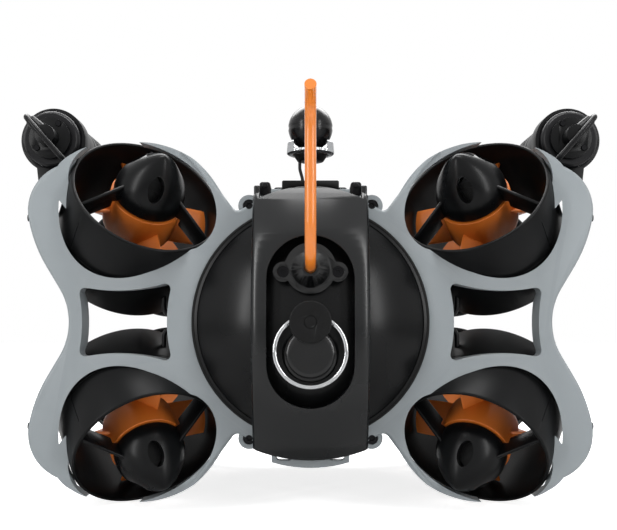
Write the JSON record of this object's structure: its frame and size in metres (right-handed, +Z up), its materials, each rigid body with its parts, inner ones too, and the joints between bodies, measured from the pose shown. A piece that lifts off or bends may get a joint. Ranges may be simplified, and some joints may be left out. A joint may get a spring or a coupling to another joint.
{
  "type": "underwater inspection vehicle",
  "caption": "Underwater inspection vehicle: pressure hull between moulded frames, ducted thrusters at the corners, tilting bow camera, lamps, beacon and a bare tether stub.",
  "frame": {"origin": "on the surface the vehicle rests on, below the middle of the hull; the rims of the lower nozzles touch that surface", "axes": "+Z up, +Y towards the bow, +X to starboard; the hull's axis is along Y"},
  "size_m": [0.5416, 0.4823, 0.373],
  "materials": {
    "frame_grey": "satin moulded plastic",
    "hull_black": "satin",
    "dome_black": "satin black",
    "cover_grey": "satin",
    "rubber_seal": "matt",
    "steel": "stainless",
    "dark_plastic": "satin",
    "latch_grey": "satin",
    "plug_grey": "satin",
    "wire_chrome": "polished",
    "tether_orange": "glossy sheath",
    "nozzle_dark": "satin",
    "pod_dark": "satin",
    "propeller_orange": "satin",
    "lead_black": "satin sheath",
    "lamp_black": "black anodised",
    "clamp_grey": "satin",
    "bezel_orange": "satin",
    "clear_glass": "clear",
    "beacon_shell": "glossy",
    "bezel_black": "black anodised",
    "camera_black": "black anodised"
  },
  "bodies": {
    "vehicle": {"front_frame": "frame_grey", "rear_frame": "frame_grey", "hull": "hull_black", "rear_dome": "dome_black", "cover": "cover_grey", "gasket": "rubber_seal", "frame_screws": "steel", "gland_screws": "steel", "connector_screws": "steel", "ring_screws": "steel", "top_rail": "dark_plastic", "top_bar": "dark_plastic", "camera_yoke": "dark_plastic", "swivel_boss": "dark_plastic", "tether_gland": "dark_plastic", "lamp_connectors": "dark_plastic", "beacon_mast": "dark_plastic", "latch_blocks": "latch_grey", "vent_plug": "plug_grey", "beacon_collar": "wire_chrome", "tether": "tether_orange", "nozzle_rear_upper_left": "nozzle_dark", "motor_pod_rear_upper_left": "pod_dark", "nozzle_rear_upper_right": "nozzle_dark", "motor_pod_rear_upper_right": "pod_dark", "nozzle_rear_lower_left": "nozzle_dark", "motor_pod_rear_lower_left": "pod_dark", "nozzle_rear_lower_right": "nozzle_dark", "motor_pod_rear_lower_right": "pod_dark", "nozzle_front_upper_left": "nozzle_dark", "motor_pod_front_upper_left": "pod_dark", "nozzle_front_upper_right": "nozzle_dark", "motor_pod_front_upper_right": "pod_dark", "nozzle_front_lower_left": "nozzle_dark", "motor_pod_front_lower_left": "pod_dark", "nozzle_front_lower_right": "nozzle_dark", "motor_pod_front_lower_right": "pod_dark", "motor_leads": "lead_black", "lamp_cables": "lead_black", "beacon_lead": "lead_black", "lamp_body_left": "lamp_black", "lamp_body_right": "lamp_black", "lamp_clamp_left": "clamp_grey", "lamp_clamp_right": "clamp_grey", "lamp_bezels": "bezel_orange", "lamp_lenses": "clear_glass", "front_window": "clear_glass", "beacon_ball": "beacon_shell", "front_bezel": "bezel_black"},
    "rotor_rear_upper_left": {"propeller_rear_upper_left": "propeller_orange"},
    "rotor_rear_upper_right": {"propeller_rear_upper_right": "propeller_orange"},
    "rotor_rear_lower_left": {"propeller_rear_lower_left": "propeller_orange"},
    "rotor_rear_lower_right": {"propeller_rear_lower_right": "propeller_orange"},
    "rotor_front_upper_left": {"propeller_front_upper_left": "propeller_orange"},
    "rotor_front_upper_right": {"propeller_front_upper_right": "propeller_orange"},
    "rotor_front_lower_left": {"propeller_front_lower_left": "propeller_orange"},
    "rotor_front_lower_right": {"propeller_front_lower_right": "propeller_orange"},
    "camera_unit": {"camera": "camera_black", "camera_lens": "clear_glass"},
    "ring": {"lifting_ring": "wire_chrome"}
  },
  "joints": [
    {"name": "spin_rear_upper_left", "type": "hinge", "parent": "vehicle", "child": "rotor_rear_upper_left", "pos_m": [-0.148, -0.118, 0.28755], "axis": [0.4182, -0.6692, 0.6142], "continuous": true},
    {"name": "spin_rear_upper_right", "type": "hinge", "parent": "vehicle", "child": "rotor_rear_upper_right", "pos_m": [0.148, -0.118, 0.28755], "axis": [-0.4182, -0.6692, 0.6142], "continuous": true},
    {"name": "spin_rear_lower_left", "type": "hinge", "parent": "vehicle", "child": "rotor_rear_lower_left", "pos_m": [-0.148, -0.118, 0.05455], "axis": [0.4182, -0.6692, -0.6142], "continuous": true},
    {"name": "spin_rear_lower_right", "type": "hinge", "parent": "vehicle", "child": "rotor_rear_lower_right", "pos_m": [0.148, -0.118, 0.05455], "axis": [-0.4182, -0.6692, -0.6142], "continuous": true},
    {"name": "spin_front_upper_left", "type": "hinge", "parent": "vehicle", "child": "rotor_front_upper_left", "pos_m": [-0.148, 0.118, 0.28755], "axis": [0.4182, 0.6692, 0.6142], "continuous": true},
    {"name": "spin_front_upper_right", "type": "hinge", "parent": "vehicle", "child": "rotor_front_upper_right", "pos_m": [0.148, 0.118, 0.28755], "axis": [-0.4182, 0.6692, 0.6142], "continuous": true},
    {"name": "spin_front_lower_left", "type": "hinge", "parent": "vehicle", "child": "rotor_front_lower_left", "pos_m": [-0.148, 0.118, 0.05455], "axis": [0.4182, 0.6692, -0.6142], "continuous": true},
    {"name": "spin_front_lower_right", "type": "hinge", "parent": "vehicle", "child": "rotor_front_lower_right", "pos_m": [0.148, 0.118, 0.05455], "axis": [-0.4182, 0.6692, -0.6142], "continuous": true},
    {"name": "camera_tilt", "type": "hinge", "parent": "vehicle", "child": "camera_unit", "pos_m": [0, 0.171, 0.17105], "axis": [1, 0, 0], "range_deg": [-40, 40]},
    {"name": "ring_swing", "type": "hinge", "parent": "vehicle", "child": "ring", "pos_m": [0, -0.194, 0.17665], "axis": [-1, 0, 0], "range_deg": [0, 95]}
  ]
}
